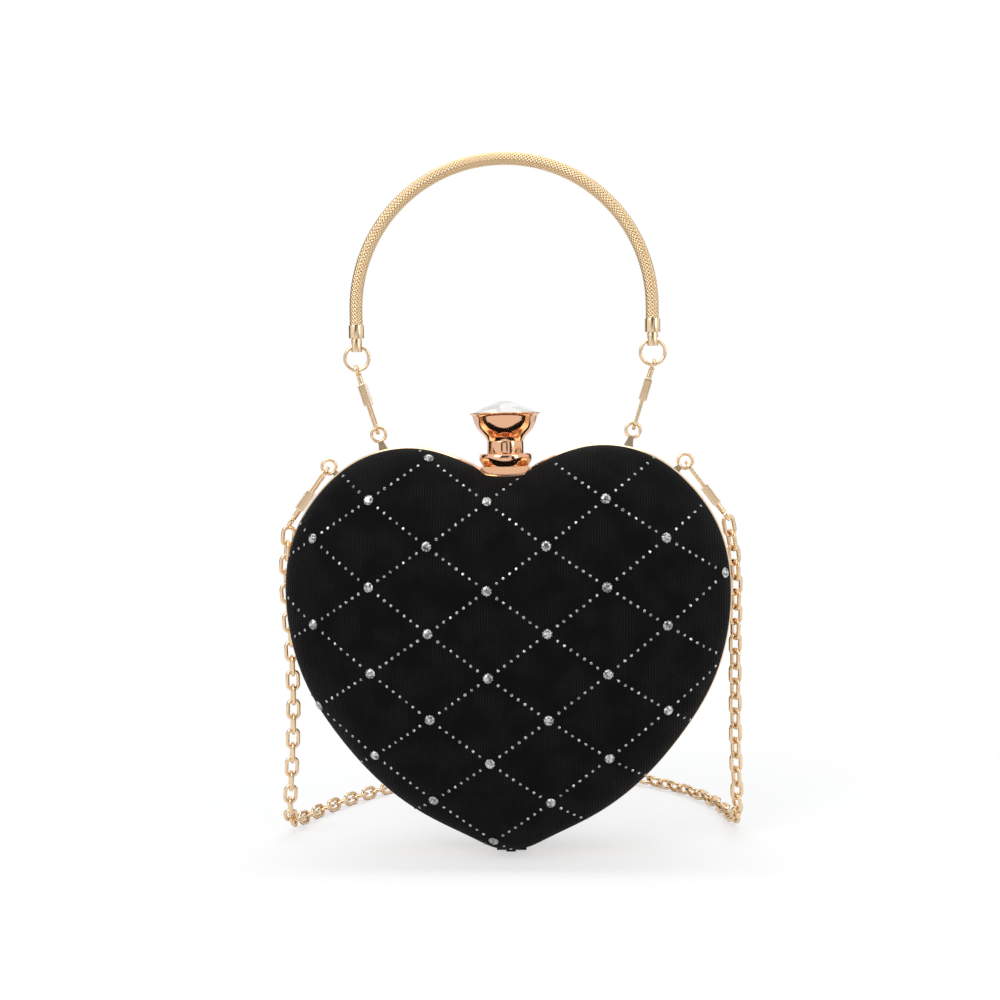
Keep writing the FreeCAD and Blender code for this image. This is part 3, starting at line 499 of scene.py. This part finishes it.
def lathe(outline, sides, middle):
    """Rings of points about an upright line, from (radius, height, turn) in millimetres."""
    loops = []
    for radius, height, *turn in outline:
        shift = turn[0] if turn else 0
        loops.append([
            middle + Vector((
                radius * math.cos(2 * math.pi * (side + shift) / sides),
                radius * math.sin(2 * math.pi * (side + shift) / sides),
                height,
            )) * MM
            for side in range(sides)
        ])
    return loops


def rounded_outline(points):
    """A smooth line through the points."""
    found = []
    for index in range(len(points) - 1):
        four = [points[max(min(index + shift, len(points) - 1), 0)] for shift in (-1, 0, 1, 2)]
        for step in range(CUP_STEPS):
            t = step / CUP_STEPS
            found.append(tuple(
                0.5 * (2 * b + (c - a) * t + (2 * a - 5 * b + 4 * c - d) * t ** 2
                       + (3 * b - a - 3 * c + d) * t ** 3)
                for a, b, c, d in zip(*four)
            ))
    return found + [points[-1]]


def knob():
    """The cup and the faceted stone in it."""
    middle = Vector((0, 0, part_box("knob_cup")[0].z))
    verts = []
    faces = []
    outline = rounded_outline(CUP_OUTLINE) + [CUP_SEAT]
    rings(verts, faces, lathe(outline, CUP_SIDES, middle))
    cup = piece("knob_tulip", verts, faces, ROSE, "knob")
    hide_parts("knob_cup")
    middle = Vector((0, 0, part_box("knob_gem")[0].z))
    verts = []
    faces = []
    loops = lathe(GEM_LEVELS, GEM_SIDES, middle)
    rings(verts, faces, loops[:2], capped=False)
    faceted(verts, faces, loops[1:])
    faces.append(tuple(reversed(range(GEM_SIDES))))
    gem = piece("knob_crystal", verts, faces, CRYSTAL, "knob", smooth=False)
    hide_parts("knob_gem")


def faceted(verts, faces, loops):
    """Triangles between rings that are turned half a side to each other, and a flat top."""
    first = len(verts)
    count = len(loops[0])
    for loop in loops:
        verts.extend(loop)
    for level in range(len(loops) - 1):
        low = first + level * count
        high = low + count
        for side in range(count):
            after = (side + 1) % count
            if level % 2 == 0:
                faces.append((low + side, low + after, high + side))
                faces.append((low + after, high + after, high + side))
            else:
                faces.append((low + side, low + after, high + after))
                faces.append((low + side, high + after, high + side))
    faces.append(tuple(first + (len(loops) - 1) * count + side for side in range(count)))


# The lattice of stones and dots on both halves, in the case's frame and millimetres
LATTICE_COLUMNS = range(-4, 5)
LATTICE_ROWS = range(-8, 6)
COLUMN_PITCH = 43.2
ROW_PITCH = 15.75
LATTICE_START_X = -5.7
LATTICE_START_Z = 100.9
LATTICE_CURVE = 4.5
HALF_WIDTH = 84.0
STONE_RADIUS = 2.1
STONE_SIDES = 10
STONE_LEVELS = [(2.0, 0.0, 0.0), (1.95, 0.25, 0.0), (1.5, 0.75, 0.5), (0.95, 1.0, 0.0)]
STONE_SEAT = 0.08
STONE_FEELERS = ((0, 0), (1, 0), (-1, 0), (0, 1), (0, -1))
DOTS_PER_EDGE = 7
DOT_START_SHARE = 0.17
DOT_RADIUS = 0.6
DOT_OUTLINE = [(DOT_RADIUS, -0.1), (DOT_RADIUS, 0.08), (DOT_RADIUS * 0.6, 0.28)]
DOT_SIDES = 8
DOT_TILT = 0.35
EDGE_MARGIN = 1.2
RAY_START = 100.0


class Face:
    """The outer face of one half's cover, looked at along Y."""

    def __init__(self, half):
        self.sign = -1 if half == "front" else 1
        mesh = NODES[half + "_cover"].data
        self.tree = BVHTree.FromPolygons(
            [v.co for v in mesh.vertices], [tuple(p.vertices) for p in mesh.polygons]
        )
        low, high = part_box(half + "_frame")
        self.rim = (low.y if self.sign < 0 else high.y) + self.sign * EDGE_MARGIN * MM

    def spot(self, x, z):
        """Where the cover is at (x, z) and its normal; None off its edge."""
        start = CASE + Vector((x * MM, self.sign * RAY_START * MM, z * MM))
        place, normal, _, _ = self.tree.ray_cast(start, Vector((0, -self.sign, 0)))
        if place is None or (place.y - self.rim) * self.sign < 0:
            return None
        if normal.y * self.sign < 0:
            normal = -normal
        return place, normal


def lattice():
    """The corners of the lattice and the ends of its edges."""
    def corner(column, row):
        x = LATTICE_START_X + (column + (0.5 if row % 2 else 0)) * COLUMN_PITCH
        return x, LATTICE_START_Z + row * ROW_PITCH + LATTICE_CURVE * (x / HALF_WIDTH) ** 2

    corners = []
    edges = []
    for row in LATTICE_ROWS:
        for column in LATTICE_COLUMNS:
            corners.append(corner(column, row))
            beside = column if row % 2 == 0 else column + 1
            for next_column in (beside - 1, beside):
                edges.append((corners[-1], corner(next_column, row + 1)))
    return corners, edges


def standing(loops, place, normal):
    """Rings about Z moved to a place and turned to its normal."""
    turn = normal.to_track_quat("Z", "X").to_matrix()
    return [[place + turn @ point for point in loop] for loop in loops]


def stones(half, body, face, corners):
    """A faceted stone on each corner where all of it lies on the cover; how many there are."""
    verts = []
    faces = []
    count = 0
    for x, z in corners:
        found = [face.spot(x + right * STONE_RADIUS, z + up * STONE_RADIUS) for right, up in STONE_FEELERS]
        if None in found:
            continue
        place, normal = found[0]
        bulge = max((spot - place).dot(normal) for spot, _ in found)
        seat = place + normal * (bulge + STONE_SEAT * MM)
        loops = standing(lathe(STONE_LEVELS, STONE_SIDES, Vector()), seat, normal)
        first = len(verts)
        rings(verts, faces, loops[:2], capped=False)
        faces.append(tuple(first + side for side in reversed(range(STONE_SIDES))))
        faceted(verts, faces, loops[1:])
        count += 1
    made = piece(half + "_stones", verts, faces, GLITTER, body, smooth=False)
    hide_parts(half + "_rhinestones")
    return count


def dots(half, body, face, edges):
    """Small dots along each edge, tilted a little at random; how many there are."""
    verts = []
    faces = []
    count = 0
    chance = random.Random(half)
    for start, end in edges:
        for step in range(DOTS_PER_EDGE):
            share = lerp(DOT_START_SHARE, 1 - DOT_START_SHARE, step / (DOTS_PER_EDGE - 1))
            found = face.spot(lerp(start[0], end[0], share), lerp(start[1], end[1], share))
            if found is None:
                continue
            place, normal = found
            tilt = Vector((chance.uniform(-1, 1), 0, chance.uniform(-1, 1))) * DOT_TILT
            loops = standing(lathe(DOT_OUTLINE, DOT_SIDES, Vector()), place, (normal + tilt).normalized())
            rings(verts, faces, loops)
            count += 1
    piece(half + "_dots", verts, faces, DOTS, body, smooth=False)
    return count


def dressing(half, body):
    """The stones and the dots of one half."""
    face = Face(half)
    corners, edges = lattice()
    stone_count = stones(half, body, face, corners)
    dot_count = dots(half, body, face, edges)
    print(half, stone_count, "stones", dot_count, "dots")


# The cast and turned pieces lose their sharp edges
CAST_CELL = 0.15 * MM
CAST_FACTOR = 0.5
CAST_ROUNDS = 24
WELD_REACH = 0.002 * MM
SOFT_SEGMENTS = 3
SOFT_ANGLE = math.radians(50)
TRIGGER_EDGE = 0.25 * MM
TURNED_EDGE = 0.3 * MM
CLASPS = ["%s_clasp_%s" % (what, side) for what in ("handle", "strap") for side in SIDES]


def cast(names):
    """Give pieces the round edges of a casting."""
    for name in names:
        skin = NODES[name].modifiers.new("cast_skin", "REMESH")
        skin.mode = "VOXEL"
        skin.voxel_size = CAST_CELL
        skin.use_smooth_shade = True
        edge = NODES[name].modifiers.new("cast_edges", "SMOOTH")
        edge.factor = CAST_FACTOR
        edge.iterations = CAST_ROUNDS


def soften(names, width):
    """Round the sharp edges of pieces by a width."""
    for name in names:
        NODES[name].modifiers.new("joined_edges", "WELD").merge_threshold = WELD_REACH
        edge = NODES[name].modifiers.new("soft_edges", "BEVEL")
        edge.width = width
        edge.segments = SOFT_SEGMENTS
        edge.limit_method = "ANGLE"
        edge.angle_limit = SOFT_ANGLE


def own_copy(name, node):
    """A piece with a CAD piece's mesh, free to change its form."""
    made = bpy.data.objects.new(name, NODES[node].data.copy())
    bpy.context.scene.collection.objects.link(made)
    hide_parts(node)
    return made


def springs():
    """The leaf spring and the knob's coil spring as pieces with meshes of their own; the coil rides on the
    back half.
    """
    leaf = own_copy("latch_leaf", "latch_spring")
    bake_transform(leaf)
    wire = own_copy("knob_coil", "knob_spring")
    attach(wire, "bag_back")
    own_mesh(wire)


cast([clasp + "_body" for clasp in CLASPS])
soften([clasp + "_trigger" for clasp in CLASPS], TRIGGER_EDGE)
soften(["clasp_base"] + ["handle_cap_" + side for side in SIDES], TURNED_EDGE)
springs()
strap()
handle()
knob()
dressing("front", "bag_front")
dressing("back", "bag_back")


# Camera, light and floor
CAMERA_PLACE = Vector((33.7, -546.4, -103.4)) * MM
CAMERA_YAW = -0.0660
CAMERA_DOWN = 0.0461
CAMERA_ROLL = 0.0175
CAMERA_FOCAL_PIXELS = 1440.9
CAMERA_SENSOR = 36
IMAGE_PIXELS = 1000
WORLD_COLOR = (0.9, 0.92, 0.95, 1)
WORLD_STRENGTH = 0.68
FLOOR_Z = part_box("strap_coil")[0].z
FLOOR_HALF = 6.0
FLOOR_COLOR = (0.97, 0.97, 0.97)
SHADOW_MIDDLE_Y = 0.04
SHADOW_REACH = (0.08, 0.26)
SHADOW_CLEARS = (0.55, 1.0)
OPEN_HALF_REACH = (-0.05, 0.0)
OPEN_HALF_CLEARS = (1.0, 0.0)
CARD_COLOR = (0.03, 0.03, 0.03)
CARD_AIM_Y = 0.001
# Each card's name, its place, and half its width and height
CARDS = [
    ("card_left", (-0.85, 0.3, 0.0), (0.3, 0.6)),
    ("card_right", (0.6, 0.75, 0.0), (0.2, 0.6)),
    ("card_beside", (0.6, -0.8, 0.0), (0.13, 0.5)),
    ("card_above", (0.0, -1.2, 0.55), (0.5, 0.3)),
    ("card_behind", (-0.07, -1.2, 0.13), (0.32, 0.12)),
    ("card_low_left", (-0.42, -1.2, -0.08), (0.12, 0.1)),
    ("card_low_right", (0.27, -1.2, -0.08), (0.1, 0.1)),
]
LAMP_TARGET = Vector((0, 0, -0.15))
# Each lamp's name, its place, its width and height, and its power
LAMPS = [
    ("key", (-0.7, -1.0, 0.7), (0.7, 0.7), 7),
    ("fill", (0.9, -0.8, 0.35), (0.5, 0.9), 4),
    ("top", (0, 0.2, 1.1), (1.2, 0.8), 6),
]


def camera():
    """The photograph's view."""
    data = bpy.data.cameras.new("camera")
    data.sensor_width = CAMERA_SENSOR
    data.lens = data.sensor_width * CAMERA_FOCAL_PIXELS / IMAGE_PIXELS
    made = bpy.data.objects.new("camera", data)
    bpy.context.scene.collection.objects.link(made)
    forward = Vector((
        math.sin(CAMERA_YAW) * math.cos(CAMERA_DOWN), math.cos(CAMERA_YAW) * math.cos(CAMERA_DOWN),
        -math.sin(CAMERA_DOWN),
    ))
    right = Vector((math.cos(CAMERA_YAW), -math.sin(CAMERA_YAW), 0))
    up = right.cross(forward)
    turned_right = right * math.cos(CAMERA_ROLL) - up * math.sin(CAMERA_ROLL)
    turned_up = right * math.sin(CAMERA_ROLL) + up * math.cos(CAMERA_ROLL)
    turn = Matrix((turned_right, turned_up, -forward)).transposed()
    made.matrix_world = Matrix.Translation(CAMERA_PLACE) @ turn.to_4x4()
    bpy.context.scene.camera = made


def lamp(name, place, size, energy):
    """A soft lamp turned to the object."""
    data = bpy.data.lights.new(name, "AREA")
    data.shape = "RECTANGLE"
    data.size, data.size_y = size
    data.energy = energy
    made = bpy.data.objects.new(name, data)
    made.location = place
    made.rotation_euler = (LAMP_TARGET - Vector(place)).to_track_quat("-Z", "Y").to_euler()
    bpy.context.scene.collection.objects.link(made)


def white_world():
    """White where the camera or a reflection looks, and a dimmer light for the rest."""
    world = bpy.data.worlds.new("world")
    world.use_nodes = True
    bpy.context.scene.world = world
    tree = world.node_tree
    dim = tree.nodes["Background"]
    dim.inputs["Color"].default_value = WORLD_COLOR
    dim.inputs["Strength"].default_value = WORLD_STRENGTH
    path = add(tree, "ShaderNodeLightPath").outputs
    either = joined(tree, "MAXIMUM", path["Is Camera Ray"], path["Is Glossy Ray"])
    looks = joined(tree, "MAXIMUM", either, path["Is Transmission Ray"])
    white = add(tree, "ShaderNodeBackground", Color=(1, 1, 1, 1), Strength=1.0)
    mix = add(tree, "ShaderNodeMixShader", [(0, looks), (1, dim.outputs[0]), (2, white.outputs[0])])
    tree.links.new(mix.outputs[0], tree.nodes["World Output"].inputs["Surface"])


def sheet(name, corners, paint):
    """A flat piece of the surroundings."""
    mesh = bpy.data.meshes.new(name)
    mesh.from_pydata(corners, [], [(0, 1, 2, 3)])
    mesh.materials.append(paint)
    made = bpy.data.objects.new(name, mesh)
    bpy.context.scene.collection.objects.link(made)
    return made


def floor_paint():
    """Pale, with a soft shadow near the object; it clears further off and under the open half."""
    made, shader, tree = material("floor", FLOOR_COLOR, roughness=0.9)
    shader.inputs["Specular IOR Level"].default_value = 0.1
    where = add(tree, "ShaderNodeNewGeometry").outputs["Position"]
    flat = add(tree, "ShaderNodeVectorMath", [(0, where)], operation="MULTIPLY_ADD")
    flat.inputs[1].default_value = (1, 1, 0)
    flat.inputs[2].default_value = (0, -SHADOW_MIDDLE_Y, 0)
    far = add(tree, "ShaderNodeVectorMath", [(0, flat.outputs[0])], operation="LENGTH")
    far_share = ramp(tree, far.outputs["Value"], SHADOW_REACH, SHADOW_CLEARS)
    camera_ray = add(tree, "ShaderNodeLightPath").outputs["Is Camera Ray"]
    seen_share = joined(tree, "MULTIPLY", camera_ray, far_share)
    depth = add(tree, "ShaderNodeSeparateXYZ", [("Vector", where)]).outputs["Y"]
    front_share = ramp(tree, depth, OPEN_HALF_REACH, OPEN_HALF_CLEARS)
    clear_share = joined(tree, "MAXIMUM", seen_share, front_share)
    clear = add(tree, "ShaderNodeBsdfTransparent")
    mix = add(
        tree, "ShaderNodeMixShader", [(0, clear_share), (1, shader.outputs[0]), (2, clear.outputs[0])],
    )
    tree.links.new(mix.outputs[0], tree.nodes["Material Output"].inputs["Surface"])
    return made


def floor():
    """The floor, at the height of the lowest part of the strap."""
    wide = FLOOR_HALF
    corners = [(-wide, -wide, 0), (wide, -wide, 0), (wide, wide, 0), (-wide, wide, 0)]
    made = sheet("floor", corners, floor_paint())
    made.location.z = FLOOR_Z


def card(name, place, half):
    """A dark card beside the object, which only the metal shows."""
    wide, high = half
    corners = [(-wide, 0, -high), (wide, 0, -high), (wide, 0, high), (-wide, 0, high)]
    made = sheet(name, corners, material(name, CARD_COLOR, roughness=0.9)[0])
    made.location = place
    made.rotation_euler.z = math.atan2(-place[0], place[1] - CARD_AIM_Y)
    made.visible_camera = False
    made.visible_diffuse = False
    made.visible_shadow = False


camera()
white_world()
floor()
for row in CARDS:
    card(*row)
for row in LAMPS:
    lamp(*row)
bpy.context.scene.view_settings.view_transform = "Standard"
